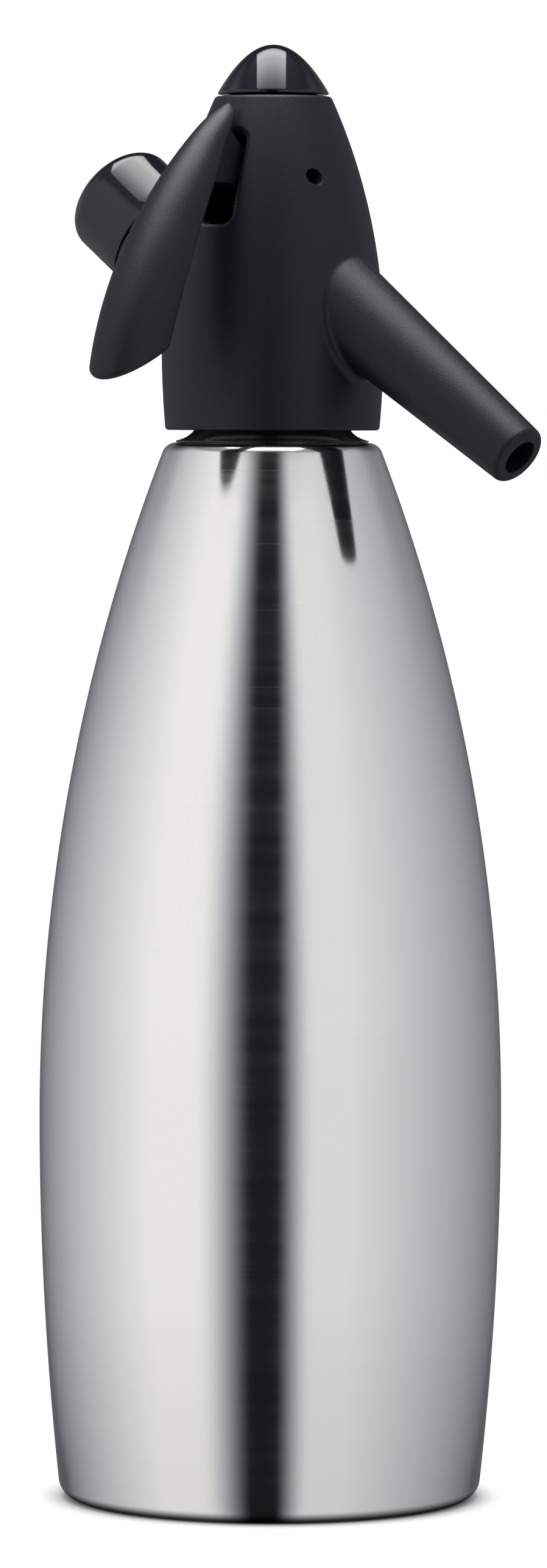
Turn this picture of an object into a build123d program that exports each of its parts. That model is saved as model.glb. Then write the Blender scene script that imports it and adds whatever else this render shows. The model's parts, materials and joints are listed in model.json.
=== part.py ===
from build123d import *
from math import cos, radians, sin, tan
import os

# Soda siphon: a stainless bottle with a screw-on dispensing head, a tapered spout, a wing lever
# and a holder for one gas charger. Millimetres. The origin is the centre of the base, on the
# table. +Z is up, +X is the spout's side, -X the charger holder's side, -Y the lever's side.

# ---------------------------------------------------------------- driving dimensions: bottle
bottle_height = 228.5
belly_radius = 50.0
belly_height = 83.5
foot_radius = 45.3
foot_round = 4.0
shoulder_radius = 22.9
shoulder_round = 3.2
bottle_wall = 0.8
base_disc_radius = 30.0
base_groove_width = 6.5
base_groove_depth = 1.5
base_groove_slant = 1.2

# ---------------------------------------------------------------- driving dimensions: neck
neck_radius = 15.8
neck_wall = 1.1
neck_rise = 12.5
neck_flange_width = 2.2
neck_flange_thickness = 0.8
thread_depth = 0.8
thread_pitch = 2.5
thread_turns = 3
thread_root_half = 1.0
thread_crest_half = 0.3
thread_end_gap = 1.0
collar_radius = 20.8
collar_height = 3.4
collar_top_wall = 0.8
collar_waist_rise = 2.9
collar_flare_rise = 1.1
collar_flare_width = 1.0
collar_rim_height = 0.4
measuring_wall = 1.0
measuring_flange = 1.0
measuring_radius = 11.0
measuring_throat = 16.0
measuring_taper = 9.0
measuring_end = 150.0
gasket_thickness = 1.5

# ---------------------------------------------------------------- driving dimensions: head
head_gap = 2.7
head_height = 71.8
head_bottom_radius = 23.1
head_belly_radius = 23.95
head_belly_rise = 18.8
head_top_radius = 12.45
head_bottom_round = 0.8
head_top_round = 1.0
skirt_wall = 2.7
head_wall = 3.5
ledge_rise = 18.8
straight_bore_rise = 30.8
top_plate = 5.5
top_inset = 1.1
ring_groove_depth = 0.8
ring_groove_rise = 1.1
ring_thickness = 1.0
ring_width = 2.2
ring_gap_angle = 24.0

# ---------------------------------------------------------------- driving dimensions: spout
spout_slope = 35.0
spout_cross_rise = 40.8
spout_length = 80.7
spout_tip_radius = 6.7
spout_taper = 3.27
spout_root_start = 8.0
spout_root_round = 2.0
spout_tip_round = 1.4
spout_bore_radius = 3.6
spout_outlet_radius = 4.0
spout_outlet_length = 12.0
spout_tube_wall = 1.05
spout_socket_start = 8.0
spout_seal_thickness = 1.2
spout_boss_radius = 6.0
spout_boss_end = 17.0

# ---------------------------------------------------------------- driving dimensions: gas charger
charger_slope = 37.4
charger_cross_rise = 18.0
charger_radius = 9.0
charger_length = 65.0
charger_wall = 1.0
charger_neck_radius = 4.3
charger_neck_length = 8.0
charger_shoulder_length = 9.0
charger_mouth_radius = 1.1
charger_end = 55.4
holder_radius = 12.5
holder_bore = 10.55
boss_root_start = 4.0
boss_stand = 8.85
boss_bore = 11.0
boss_root_round = 1.5
boss_edge_round = 0.5
holder_start_gap = 0.3
holder_edge = 0.4
holder_dome_start = 52.2
holder_dome_height = 6.7
holder_cavity_start = 50.0
holder_cavity_height = 5.7
liner_inner_radius = 9.6
liner_outer_radius = 10.5
liner_start = 12.3
liner_groove_pitch = 2.0
liner_groove_depth = 0.35
liner_groove_count = 5
charger_socket_radius = 10.8
charger_socket_start = 12.0
charger_socket_end = 23.0
charger_socket_wall = 2.0
charger_cone_length = 6.3

# ---------------------------------------------------------------- driving dimensions: piercing set
charger_seal_thickness = 1.3
charger_seal_bore = 1.6
vent_radius = 0.25
vent_count = 4
pierce_radius = 4.3
pin_holder_thickness = 2.0
piercing_pin_radius = 0.8
piercing_pin_reach = 2.6
piercing_pin_cone = 1.6
gas_pocket_radius = 1.6
gas_pocket_depth = 0.7
gas_channel_radius = 0.8
gas_channel_offset = 10.2
gas_valve_radius = 1.95
gas_valve_length = 2.8
gas_valve_slit = 0.4

# ---------------------------------------------------------------- driving dimensions: valve body
body_plug_depth = 10.5
tower_radius = 12.0
tower_top_rise = 49.8
tower_edge_round = 0.8
riser_radius = 3.0
riser_wall = 0.8
riser_foot_gap = 5.0
riser_end_slant = 1.2
riser_socket_depth = 6.2
riser_nut_radius = 5.1
riser_nut_hex = 6.2
riser_nut_hex_height = 2.5
riser_seal_thickness = 1.5
riser_pocket_depth = 5.0
nut_sides = 6
cross_channel_radius = 1.3
riser_channel_radius = 1.4
riser_channel_offset = 9.8
upper_channel_rise = 33.0

# ---------------------------------------------------------------- driving dimensions: valve
chamber_floor_rise = 37.3
chamber_radius = 4.4
chamber_height = 7.0
seat_orifice = 2.0
seat_thickness = 1.2
valve_seal_radius = 3.4
valve_seal_thickness = 1.4
stem_radius = 1.5
stem_head_radius = 3.6
stem_head_height = 1.6
stem_top_gap = 5.0
collar_disc_radius = 4.6
collar_disc_thickness = 1.5
gland_pocket_radius = 4.9
stem_seal_thickness = 1.8
gland_spigot = 1.7
gland_hex = 6.2
gland_hex_height = 1.8
spring_wire = 0.55
spring_radius = 3.9
spring_turns = 8

# ---------------------------------------------------------------- driving dimensions: top cap
cap_radius = 11.95
cap_height = 10.75
cap_gap = 0.4
cap_edge = 0.35
cap_plug_radius = 8.4
cap_plug_end = 5.7
cap_pocket_radius = 5.2
cap_pocket_depth = 1.6
cap_seal_radius = 9.25
cap_seal_section = 0.65
cap_seal_groove = 1.0

# ---------------------------------------------------------------- driving dimensions: lever
pivot_reach = 7.7
pivot_rise = 54.1
pivot_pin_radius = 1.5
pivot_pin_half = 8.5
pivot_hole_radius = 1.75
lever_boss_radius = 3.4
lever_web_half = 3.6
lever_top_rise = 70.0
lever_drop = 62.2
lever_top_reach = 15.0
lever_bottom_reach = 48.8
lever_rim_bow = 19.7
lever_half_width = 8.6
lever_widest = 0.75
lever_fullness = 0.56
lever_crown = 1.3
lever_wall = 2.2
lever_end_reach = 46.7
lever_end_rise = 16.6
lever_end_slope = 29.5
lever_end_round = 1.1
lever_tip_offset = 0.6
lever_pocket_start = 0.36
lever_pocket_end = 0.84
lever_web_rise = 52.7
web_slot_reach = 18.0
web_root_reach = 30.0
web_shoulder_reach = 23.0
web_shoulder_rise = 7.9
web_peak_reach = 20.0
web_peak_rise = 10.7
web_throat_reach = 15.1
web_throat_rise = 6.1
fork_slot_end = 1.7
wing_first = 0.02
wing_steps = 8
pocket_steps = 4
fork_nose_radius = 1.4
fork_slot_half = 1.8
fork_lift_gap = 0.2
slot_half_width = 4.2
slot_bottom_rise = 44.0
slot_top_rise = 63.2
slot_corner = 2.2
slot_edge_round = 1.4
cheek_outer = 9.0
cheek_inner_reach = 3.0
cheek_bottom_rise = 50.4
cheek_top_rise = 62.8

# ---------------------------------------------------------------- named clearances
seat_gap = 0.05
press_gap = 0.05
slip_gap = 0.1
fit_gap = 0.2
loose_gap = 0.3
overcut = 1.0

# ---------------------------------------------------------------- heights and radii that follow
neck_top = bottle_height + neck_rise
head_bottom = bottle_height + head_gap
head_top = head_bottom + head_height
head_belly = head_bottom + head_belly_rise
ledge = head_bottom + ledge_rise
straight_bore_top = head_bottom + straight_bore_rise
plate_underside = head_top - top_plate
skirt_bore = head_bottom_radius - skirt_wall
head_bore = head_bottom_radius - head_wall
plate_bore = head_top_radius - top_inset

neck_bore = neck_radius - neck_wall
measuring_throat_radius = neck_bore - fit_gap
measuring_throat_bore = measuring_throat_radius - measuring_wall
gasket_bottom = neck_top + measuring_flange + seat_gap
body_roof = gasket_bottom + gasket_thickness + seat_gap
body_plug_radius = measuring_throat_bore - loose_gap
body_socket_radius = neck_radius + thread_depth + loose_gap
body_plug_bottom = body_roof - body_plug_depth
body_skirt_radius = skirt_bore - fit_gap
body_disc_radius = head_bore - fit_gap
ring_bottom = head_bottom + ring_groove_rise
body_bottom = ring_bottom + ring_thickness + slip_gap
tower_top = head_bottom + tower_top_rise

spout_side = Plane(
    origin=(0, 0, head_bottom + spout_cross_rise),
    x_dir=(sin(radians(spout_slope)), 0, cos(radians(spout_slope))),
    z_dir=(0, 1, 0),
)
charger_side = Plane(
    origin=(0, 0, head_bottom + charger_cross_rise),
    x_dir=(sin(radians(charger_slope)), 0, cos(radians(charger_slope))),
    z_dir=(0, -1, 0),
)
boss_reach = head_belly_radius / cos(radians(charger_slope)) + boss_stand
charger_end_plane = Plane(origin=charger_side.origin, x_dir=(0, 1, 0), z_dir=charger_side.y_dir)

charger_mouth = charger_end - charger_length
charger_seal_end = charger_mouth - slip_gap
charger_seal_start = charger_seal_end - charger_seal_thickness
pin_holder_end = charger_seal_start - seat_gap
pin_holder_start = pin_holder_end - pin_holder_thickness

chamber_floor = head_bottom + chamber_floor_rise
chamber_top = chamber_floor + chamber_height
seat_top = chamber_floor + seat_thickness
stem_bottom = seat_top + seat_gap + valve_seal_thickness + seat_gap
stem_seal_top = chamber_top + slip_gap + stem_seal_thickness
gland_bottom = stem_seal_top + seat_gap
gland_shoulder = gland_bottom + gland_spigot

pivot_height = head_bottom + pivot_rise
collar_disc_bottom = pivot_height + fork_nose_radius + fork_lift_gap
collar_disc_top = collar_disc_bottom + collar_disc_thickness
cap_rim = head_top + cap_gap
cap_plug_bottom = head_top - cap_plug_end
cap_pocket_top = cap_rim + cap_pocket_depth
stem_top = cap_pocket_top - stem_top_gap

lever_top = head_bottom + lever_top_rise


# ---------------------------------------------------------------- shared shapes
def turned(outline, side=Plane.YZ, mode=Mode.ADD):
    """Turn a closed outline of (radius, height) points about the side plane's Y axis."""
    with BuildSketch(side) as profile:
        with BuildLine():
            Polyline(*outline, close=True)
        make_face()
    revolve(profile.sketch, axis=Axis(side.origin, side.y_dir), mode=mode)


def sleeve(bottom, top, outer, inner, side=Plane.YZ, mode=Mode.ADD):
    """A plain round sleeve between two heights."""
    turned([(inner, bottom), (outer, bottom), (outer, top), (inner, top)], side, mode)


def bore(bottom, top, radius, side=Plane.YZ):
    """A round hole along the side plane's Y axis between two heights."""
    turned([(0, bottom), (radius, bottom), (radius, top), (0, top)], side, Mode.SUBTRACT)


def drill(start, end, radius):
    """A straight round channel from one point to another."""
    way = Vector(*end) - Vector(*start)
    with BuildSketch(Plane(origin=start, z_dir=way)) as mouth:
        Circle(radius)
    extrude(mouth.sketch, amount=way.length, mode=Mode.SUBTRACT)


def dome_curve(radius, base, height, fullness=0.5523):
    """The control points of a quarter oval from the rim of a dome to its top."""
    return [
        (radius, base),
        (radius, base + fullness * height),
        (fullness * radius, base + height),
        (0, base + height),
    ]


def along_spout(reach, rise=0.0):
    """The point at a reach along the spout's axis and a rise across it."""
    return tuple(spout_side.from_local_coords((rise, reach, 0)))


def along_charger(reach, rise=0.0):
    """The point at a reach along the charger's axis and a rise across it."""
    return tuple(charger_side.from_local_coords((rise, reach, 0)))


def save(piece, name):
    """Label a finished piece and write it to its own file."""
    piece.part.label = name
    export_step(piece.part, f"parts/{name}.step")


os.makedirs("parts", exist_ok=True)


# ---------------------------------------------------------------- bottle
groove_start = base_disc_radius
groove_end = base_disc_radius + base_groove_width
foot_corner = (foot_radius, 0)
shoulder_corner = (shoulder_radius, bottle_height)
with BuildPart() as bottle:
    with BuildSketch(Plane.XZ):
        with BuildLine() as outside:
            Polyline(
                (0, 0),
                (groove_start, 0),
                (groove_start + base_groove_slant, base_groove_depth),
                (groove_end - base_groove_slant, base_groove_depth),
                (groove_end, 0),
                foot_corner,
            )
            TangentArc((belly_radius, belly_height), foot_corner, tangent=(0, -1))
            TangentArc((belly_radius, belly_height), shoulder_corner, tangent=(0, 1))
            Line(shoulder_corner, (neck_radius + press_gap, bottle_height))
            foot = outside.vertices().sort_by_distance(foot_corner)[0]
            fillet(foot, radius=foot_round)
            shoulder = outside.vertices().sort_by_distance(shoulder_corner)[0]
            fillet(shoulder, radius=shoulder_round)
            offset(amount=bottle_wall, side=Side.LEFT, closed=True)
        make_face()
    revolve(axis=Axis.Z)
save(bottle, "bottle")


# ---------------------------------------------------------------- neck of the bottle
flange_top = bottle_height - bottle_wall - seat_gap
flange_bottom = flange_top - neck_flange_thickness
thread_top = neck_top - thread_end_gap
with BuildPart() as neck_sleeve:
    sleeve(flange_bottom, neck_top, neck_radius, neck_bore)
    sleeve(flange_bottom, flange_top, neck_radius + neck_flange_width, neck_bore)
    for turn in range(thread_turns):
        crest = thread_top - (turn + 0.5) * thread_pitch
        turned(
            [
                (neck_radius - press_gap, crest - thread_root_half),
                (neck_radius + thread_depth, crest - thread_crest_half),
                (neck_radius + thread_depth, crest + thread_crest_half),
                (neck_radius - press_gap, crest + thread_root_half),
            ]
        )
save(neck_sleeve, "neck_sleeve")

collar_bore = neck_radius + fit_gap
collar_top = bottle_height + collar_height
collar_waist = (collar_bore + collar_top_wall, bottle_height + collar_waist_rise)
collar_flare = (collar_waist[0] + collar_flare_width, bottle_height + collar_flare_rise)
collar_seat = bottle_height + seat_gap
collar_rim = (collar_radius, collar_seat + collar_rim_height)
with BuildPart() as neck_collar:
    with BuildSketch(Plane.XZ):
        with BuildLine():
            Polyline(
                collar_rim,
                (collar_radius, collar_seat),
                (collar_bore, collar_seat),
                (collar_bore, collar_top),
                (collar_bore + collar_top_wall, collar_top),
                collar_waist,
            )
            Bezier(collar_waist, collar_flare, collar_rim)
        make_face()
    revolve(axis=Axis.Z)
save(neck_collar, "neck_collar")

tube_bore = measuring_radius - measuring_wall
throat_bottom = neck_top - measuring_throat
tube_top = throat_bottom - measuring_taper
with BuildPart() as measuring_tube:
    turned(
        [
            (measuring_throat_bore, neck_top + seat_gap + measuring_flange),
            (neck_radius, neck_top + seat_gap + measuring_flange),
            (neck_radius, neck_top + seat_gap),
            (measuring_throat_radius, neck_top + seat_gap),
            (measuring_throat_radius, throat_bottom),
            (measuring_radius, tube_top),
            (measuring_radius, measuring_end),
            (tube_bore, measuring_end),
            (tube_bore, tube_top),
            (measuring_throat_bore, throat_bottom),
        ]
    )
save(measuring_tube, "measuring_tube")

gasket_outer = body_socket_radius - loose_gap
with BuildPart() as neck_gasket:
    sleeve(gasket_bottom + seat_gap, body_roof - seat_gap, gasket_outer, measuring_throat_bore)
save(neck_gasket, "neck_gasket")


# ---------------------------------------------------------------- head casing
def head_outline():
    """The filled outside outline of the head: two arcs that meet upright at its belly."""
    bottom_corner = (head_bottom_radius, head_bottom)
    top_corner = (head_top_radius, head_top)
    with BuildSketch(Plane.YZ) as filled:
        with BuildLine():
            Line((0, head_bottom), bottom_corner)
            TangentArc((head_belly_radius, head_belly), bottom_corner, tangent=(0, -1))
            TangentArc((head_belly_radius, head_belly), top_corner, tangent=(0, 1))
            Polyline(top_corner, (0, head_top), (0, head_bottom))
        make_face()
    return filled.sketch


def head_space(gap):
    """The space inside the casing, drawn in by a gap all round, from the skirt to the top plate."""
    wall_top = (head_bore - gap, straight_bore_top)
    plate_edge = (plate_bore - gap, plate_underside - gap)
    with BuildSketch(Plane.YZ) as filled:
        with BuildLine():
            Polyline(
                wall_top,
                (head_bore - gap, ledge - gap),
                (skirt_bore - gap, ledge - gap),
                (skirt_bore - gap, head_bottom - overcut),
                (0, head_bottom - overcut),
                (0, plate_underside - gap),
                plate_edge,
            )
            TangentArc(wall_top, plate_edge, tangent=(0, 1))
        make_face()
    return filled.sketch


spout_lining_end = spout_length - spout_outlet_length
spout_root_radius = spout_tip_radius + (spout_length - spout_root_start) * tan(radians(spout_taper))
cheek_middle = (slot_half_width + cheek_outer) / 2
cheek_bottom = head_bottom + cheek_bottom_rise
cheek_top = head_bottom + cheek_top_rise
slot_bottom = head_bottom + slot_bottom_rise
slot_top = head_bottom + slot_top_rise
slot_middle = (slot_bottom + slot_top) / 2
slot_height = slot_top - slot_bottom

pivot_front = Plane.XZ.offset(pivot_reach)

with BuildPart() as head_cavity:
    revolve(head_space(0), axis=Axis.Z)
    with BuildSketch(Plane.XY.offset(cheek_bottom)):
        with Locations((cheek_middle, -cheek_inner_reach), (-cheek_middle, -cheek_inner_reach)):
            Rectangle(cheek_outer - slot_half_width, head_belly_radius, align=(Align.CENTER, Align.MAX))
    extrude(amount=cheek_top - cheek_bottom, mode=Mode.SUBTRACT)

with BuildPart() as head_casing:
    revolve(head_outline(), axis=Axis.Z)
    fillet(head_casing.edges().group_by(Axis.Z)[-1], radius=head_top_round)
    fillet(head_casing.edges().group_by(Axis.Z)[0], radius=head_bottom_round)
    turned(
        [
            (0, spout_root_start),
            (spout_root_radius, spout_root_start),
            (spout_tip_radius, spout_length),
            (0, spout_length),
        ],
        spout_side,
    )
    fillet(head_casing.edges(Select.NEW), radius=spout_root_round)
    round_edges = head_casing.edges().filter_by(GeomType.CIRCLE)
    fillet(round_edges.sort_by_distance(along_spout(spout_length))[0], radius=spout_tip_round)
    turned(
        [
            (0, boss_root_start),
            (holder_radius, boss_root_start),
            (holder_radius, boss_reach),
            (0, boss_reach),
        ],
        charger_side,
    )
    fillet(head_casing.edges(Select.NEW), radius=boss_root_round)
    round_edges = head_casing.edges().filter_by(GeomType.CIRCLE)
    fillet(round_edges.sort_by_distance(along_charger(boss_reach))[0], radius=boss_edge_round)
    with BuildSketch(pivot_front):
        with Locations((0, slot_middle)):
            RectangleRounded(2 * slot_half_width, slot_height, slot_corner)
    extrude(amount=head_belly_radius, mode=Mode.SUBTRACT)
    slot_mouth = head_casing.edges(Select.LAST).filter_by(Axis.Y, reverse=True).group_by(Axis.Y)
    fillet([edge for group in slot_mouth[:-1] for edge in group], radius=slot_edge_round)
    add(head_cavity.part, mode=Mode.SUBTRACT)
    bore(0, spout_length, spout_bore_radius, spout_side)
    bore(spout_lining_end, spout_length, spout_outlet_radius, spout_side)
    bore(0, boss_reach, boss_bore, charger_side)
    bore(plate_underside - overcut, head_top, cap_plug_radius + fit_gap)
    bore(head_top - cap_seal_groove, head_top, cap_seal_radius + cap_seal_section + slip_gap)
    sleeve(
        ring_bottom - slip_gap,
        ring_bottom + ring_thickness + slip_gap,
        skirt_bore + ring_groove_depth,
        skirt_bore - overcut,
        mode=Mode.SUBTRACT,
    )
    with BuildSketch(Plane.YZ.offset(-head_belly_radius)):
        with Locations((-pivot_reach, pivot_height)):
            Circle(pivot_hole_radius)
    extrude(amount=2 * head_belly_radius, mode=Mode.SUBTRACT)
save(head_casing, "head_casing")

ring_outer = skirt_bore + ring_groove_depth - slip_gap
with BuildPart() as retaining_ring:
    sleeve(ring_bottom, ring_bottom + ring_thickness, ring_outer, ring_outer - ring_width)
    with BuildSketch(Plane.XY.offset(ring_bottom)):
        with BuildLine():
            Polyline(
                (0, 0),
                (-2 * ring_outer * sin(radians(ring_gap_angle / 2)), 2 * ring_outer),
                (2 * ring_outer * sin(radians(ring_gap_angle / 2)), 2 * ring_outer),
                close=True,
            )
        make_face()
    extrude(amount=ring_thickness, mode=Mode.SUBTRACT)
save(retaining_ring, "retaining_ring")

with BuildPart() as pivot_pin:
    with BuildSketch(Plane.YZ.offset(-pivot_pin_half)):
        with Locations((-pivot_reach, pivot_height)):
            Circle(pivot_pin_radius)
    extrude(amount=2 * pivot_pin_half)
    chamfer(pivot_pin.edges().filter_by(GeomType.CIRCLE), length=slip_gap + fit_gap)
save(pivot_pin, "pivot_pin")


# ---------------------------------------------------------------- valve body
riser_pocket_top = body_plug_bottom + riser_pocket_depth
riser_top = body_plug_bottom + riser_socket_depth
cross_channel = riser_top + cross_channel_radius - slip_gap
upper_channel = head_bottom + upper_channel_rise
channel_foot = (0, riser_channel_offset, cross_channel)
channel_head = (0, riser_channel_offset, upper_channel)
charger_throat = charger_mouth + charger_neck_length
charger_full = charger_throat + charger_shoulder_length
neck_clearance = charger_neck_radius + loose_gap
pocket_start = pin_holder_start - seat_gap - gas_pocket_depth
gas_channel_top = along_charger(pocket_start + gas_pocket_depth / 2)[2]
gas_valve_bottom = body_plug_bottom + slip_gap
gas_valve_top = gas_valve_bottom + gas_valve_length
outlet_inner = (chamber_radius / 2, 0, (seat_top + chamber_top) / 2)
outlet_outer = along_spout(spout_socket_start)

with BuildPart() as valve_body:
    turned(
        [
            (0, body_plug_bottom),
            (body_plug_radius, body_plug_bottom),
            (body_plug_radius, body_bottom),
            (body_skirt_radius, body_bottom),
            (body_skirt_radius, ledge - fit_gap),
            (body_disc_radius, ledge - fit_gap),
            (body_disc_radius, straight_bore_top),
            (tower_radius, straight_bore_top),
            (tower_radius, tower_top),
            (0, tower_top),
        ]
    )
    fillet(valve_body.edges().group_by(Axis.Z)[-1], radius=tower_edge_round)
    turned(
        [
            (0, 0),
            (charger_socket_radius + charger_socket_wall, 0),
            (charger_socket_radius + charger_socket_wall, charger_socket_end),
            (0, charger_socket_end),
        ],
        charger_side,
    )
    turned(
        [
            (0, 0),
            (spout_boss_radius, 0),
            (spout_boss_radius, spout_boss_end),
            (0, spout_boss_end),
        ],
        spout_side,
    )
    revolve(head_space(fit_gap), axis=Axis.Z, mode=Mode.INTERSECT)
    sleeve(head_bottom - overcut, body_roof, body_socket_radius, body_plug_radius, mode=Mode.SUBTRACT)
    turned(
        [
            (0, pin_holder_start - seat_gap),
            (pierce_radius + slip_gap, pin_holder_start - seat_gap),
            (pierce_radius + slip_gap, charger_mouth - slip_gap),
            (neck_clearance, charger_mouth - slip_gap),
            (neck_clearance, charger_throat),
            (liner_inner_radius, charger_throat + charger_cone_length),
            (liner_inner_radius, charger_socket_start),
            (charger_socket_radius, charger_socket_start),
            (charger_socket_radius, boss_reach),
            (0, boss_reach),
        ],
        charger_side,
        Mode.SUBTRACT,
    )
    bore(pocket_start, pin_holder_start, gas_pocket_radius, charger_side)
    drill(
        (gas_channel_offset, 0, gas_valve_bottom),
        (gas_channel_offset, 0, gas_channel_top),
        gas_channel_radius,
    )
    drill(
        (gas_channel_offset, 0, body_plug_bottom - overcut),
        (gas_channel_offset, 0, gas_valve_top + slip_gap),
        gas_valve_radius + press_gap,
    )
    bore(body_plug_bottom - overcut, riser_pocket_top, riser_nut_radius + slip_gap)
    bore(body_plug_bottom - overcut, riser_top, riser_radius + slip_gap)
    drill((0, 0, riser_top - slip_gap), (0, 0, cross_channel), cross_channel_radius)
    drill((0, 0, cross_channel), channel_foot, cross_channel_radius)
    drill(channel_foot, channel_head, riser_channel_radius)
    drill(channel_head, (0, 0, upper_channel), cross_channel_radius)
    drill((0, 0, upper_channel), (0, 0, chamber_floor), seat_orifice)
    bore(chamber_floor, tower_top, chamber_radius)
    bore(chamber_top, tower_top, gland_pocket_radius)
    bore(gland_shoulder, tower_top, gland_hex + loose_gap)
    drill(outlet_inner, outlet_outer, cross_channel_radius)
    bore(spout_socket_start, spout_length, spout_bore_radius, spout_side)
save(valve_body, "valve_body")


# ---------------------------------------------------------------- spout lining
spout_seal_end = spout_socket_start + seat_gap + spout_seal_thickness
spout_tube_radius = spout_bore_radius - slip_gap
spout_tube_bore = spout_tube_radius - spout_tube_wall
with BuildPart() as spout_seal:
    sleeve(spout_socket_start + seat_gap, spout_seal_end, spout_tube_radius, spout_tube_bore, spout_side)
save(spout_seal, "spout_seal")

with BuildPart() as spout_tube:
    sleeve(
        spout_seal_end + seat_gap,
        spout_lining_end,
        spout_tube_radius,
        spout_tube_bore,
        spout_side,
    )
save(spout_tube, "spout_tube")


# ---------------------------------------------------------------- riser
riser_foot = bottle_wall + base_groove_depth + riser_foot_gap
riser_seal_bottom = riser_pocket_top - seat_gap - riser_seal_thickness
nut_shoulder = body_plug_bottom - seat_gap
with BuildPart() as riser_tube:
    sleeve(riser_foot, riser_top - slip_gap, riser_radius, riser_radius - riser_wall)
    with BuildSketch(Plane.XZ.offset(-riser_radius)):
        with BuildLine():
            Polyline(
                (-riser_radius, riser_foot),
                (riser_radius, riser_foot),
                (riser_radius, riser_foot + riser_end_slant * riser_radius),
                close=True,
            )
        make_face()
    extrude(amount=2 * riser_radius, mode=Mode.SUBTRACT)
save(riser_tube, "riser_tube")

with BuildPart() as riser_seal:
    sleeve(
        riser_seal_bottom, riser_pocket_top - seat_gap, riser_nut_radius, riser_radius + press_gap
    )
save(riser_seal, "riser_seal")

with BuildPart() as riser_nut:
    with BuildSketch(Plane.XY.offset(nut_shoulder)):
        RegularPolygon(riser_nut_hex, nut_sides)
    extrude(amount=-riser_nut_hex_height)
    sleeve(nut_shoulder - slip_gap, riser_seal_bottom - seat_gap, riser_nut_radius, riser_radius + slip_gap)
    bore(nut_shoulder - riser_nut_hex_height, riser_seal_bottom, riser_radius + slip_gap)
save(riser_nut, "riser_nut")


# ---------------------------------------------------------------- gas inlet
with BuildPart() as gas_valve:
    with BuildSketch(Plane.XY.offset(gas_valve_bottom)):
        with Locations((gas_channel_offset, 0)):
            Circle(gas_valve_radius)
    extrude(amount=gas_valve_length)
    with BuildSketch(Plane.XY.offset(gas_valve_top)):
        with Locations((gas_channel_offset, 0)):
            Circle(gas_channel_radius)
    extrude(amount=-gas_valve_length / 2, mode=Mode.SUBTRACT)
    with BuildSketch(Plane.XY.offset(gas_valve_bottom)):
        with Locations((gas_channel_offset, 0)):
            Rectangle(gas_valve_slit, 2 * gas_channel_radius)
    extrude(amount=gas_valve_length, mode=Mode.SUBTRACT)
save(gas_valve, "gas_valve")

with BuildPart() as pin_holder:
    sleeve(pin_holder_start, pin_holder_end, pierce_radius, piercing_pin_radius + press_gap, charger_side)
    with BuildSketch(charger_end_plane.offset(pin_holder_start)):
        with PolarLocations((piercing_pin_radius + charger_seal_bore) / 2, vent_count):
            Circle(vent_radius)
    extrude(amount=pin_holder_thickness, mode=Mode.SUBTRACT)
save(pin_holder, "pin_holder")

pin_tip = pin_holder_end + seat_gap + charger_seal_thickness + slip_gap + piercing_pin_reach
with BuildPart() as piercing_pin:
    turned(
        [
            (0, pin_holder_start),
            (piercing_pin_radius, pin_holder_start),
            (piercing_pin_radius, pin_tip - piercing_pin_cone),
            (0, pin_tip),
        ],
        charger_side,
    )
save(piercing_pin, "piercing_pin")

with BuildPart() as charger_seal:
    sleeve(charger_seal_start, charger_seal_end, pierce_radius, charger_seal_bore, charger_side)
save(charger_seal, "charger_seal")


# ---------------------------------------------------------------- gas charger and its holder
charger_belly_end = charger_end - charger_radius
with BuildPart() as gas_charger:
    with BuildSketch(charger_side):
        with BuildLine():
            Polyline(
                (charger_mouth_radius, charger_mouth),
                (charger_neck_radius, charger_mouth),
                (charger_neck_radius, charger_throat),
            )
            shoulder_middle = (
                (charger_neck_radius + charger_radius) / 2,
                (charger_throat + charger_full) / 2,
            )
            TangentArc((charger_neck_radius, charger_throat), shoulder_middle, tangent=(0, 1))
            TangentArc((charger_radius, charger_full), shoulder_middle, tangent=(0, -1))
            Line((charger_radius, charger_full), (charger_radius, charger_belly_end))
            RadiusArc((charger_radius, charger_belly_end), (0, charger_end), -charger_radius)
            offset(amount=charger_wall, side=Side.LEFT, closed=True)
        make_face()
    revolve(axis=Axis(charger_side.origin, charger_side.y_dir))
save(gas_charger, "gas_charger")

with BuildPart() as holder_liner:
    sleeve(liner_start, holder_cavity_start, liner_outer_radius, liner_inner_radius, charger_side)
    for groove in range(liner_groove_count):
        start = liner_start + (groove + 0.5) * liner_groove_pitch
        sleeve(
            start,
            start + liner_groove_pitch / 2,
            liner_outer_radius + overcut,
            liner_outer_radius - liner_groove_depth,
            charger_side,
            Mode.SUBTRACT,
        )
save(holder_liner, "holder_liner")

holder_start = boss_reach + holder_start_gap
with BuildPart() as charger_holder:
    with BuildSketch(charger_side):
        with BuildLine():
            Polyline(
                (holder_bore, holder_start),
                (holder_radius - holder_edge, holder_start),
                (holder_radius, holder_start + holder_edge),
                (holder_radius, holder_dome_start),
            )
            Bezier(*dome_curve(holder_radius, holder_dome_start, holder_dome_height))
            Line(
                (0, holder_dome_start + holder_dome_height),
                (0, holder_cavity_start + holder_cavity_height),
            )
            Bezier(*dome_curve(liner_inner_radius, holder_cavity_start, holder_cavity_height))
            Polyline(
                (liner_inner_radius, holder_cavity_start),
                (holder_bore, holder_cavity_start),
                (holder_bore, holder_start),
            )
        make_face()
    revolve(axis=Axis(charger_side.origin, charger_side.y_dir))
save(charger_holder, "charger_holder")


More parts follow.
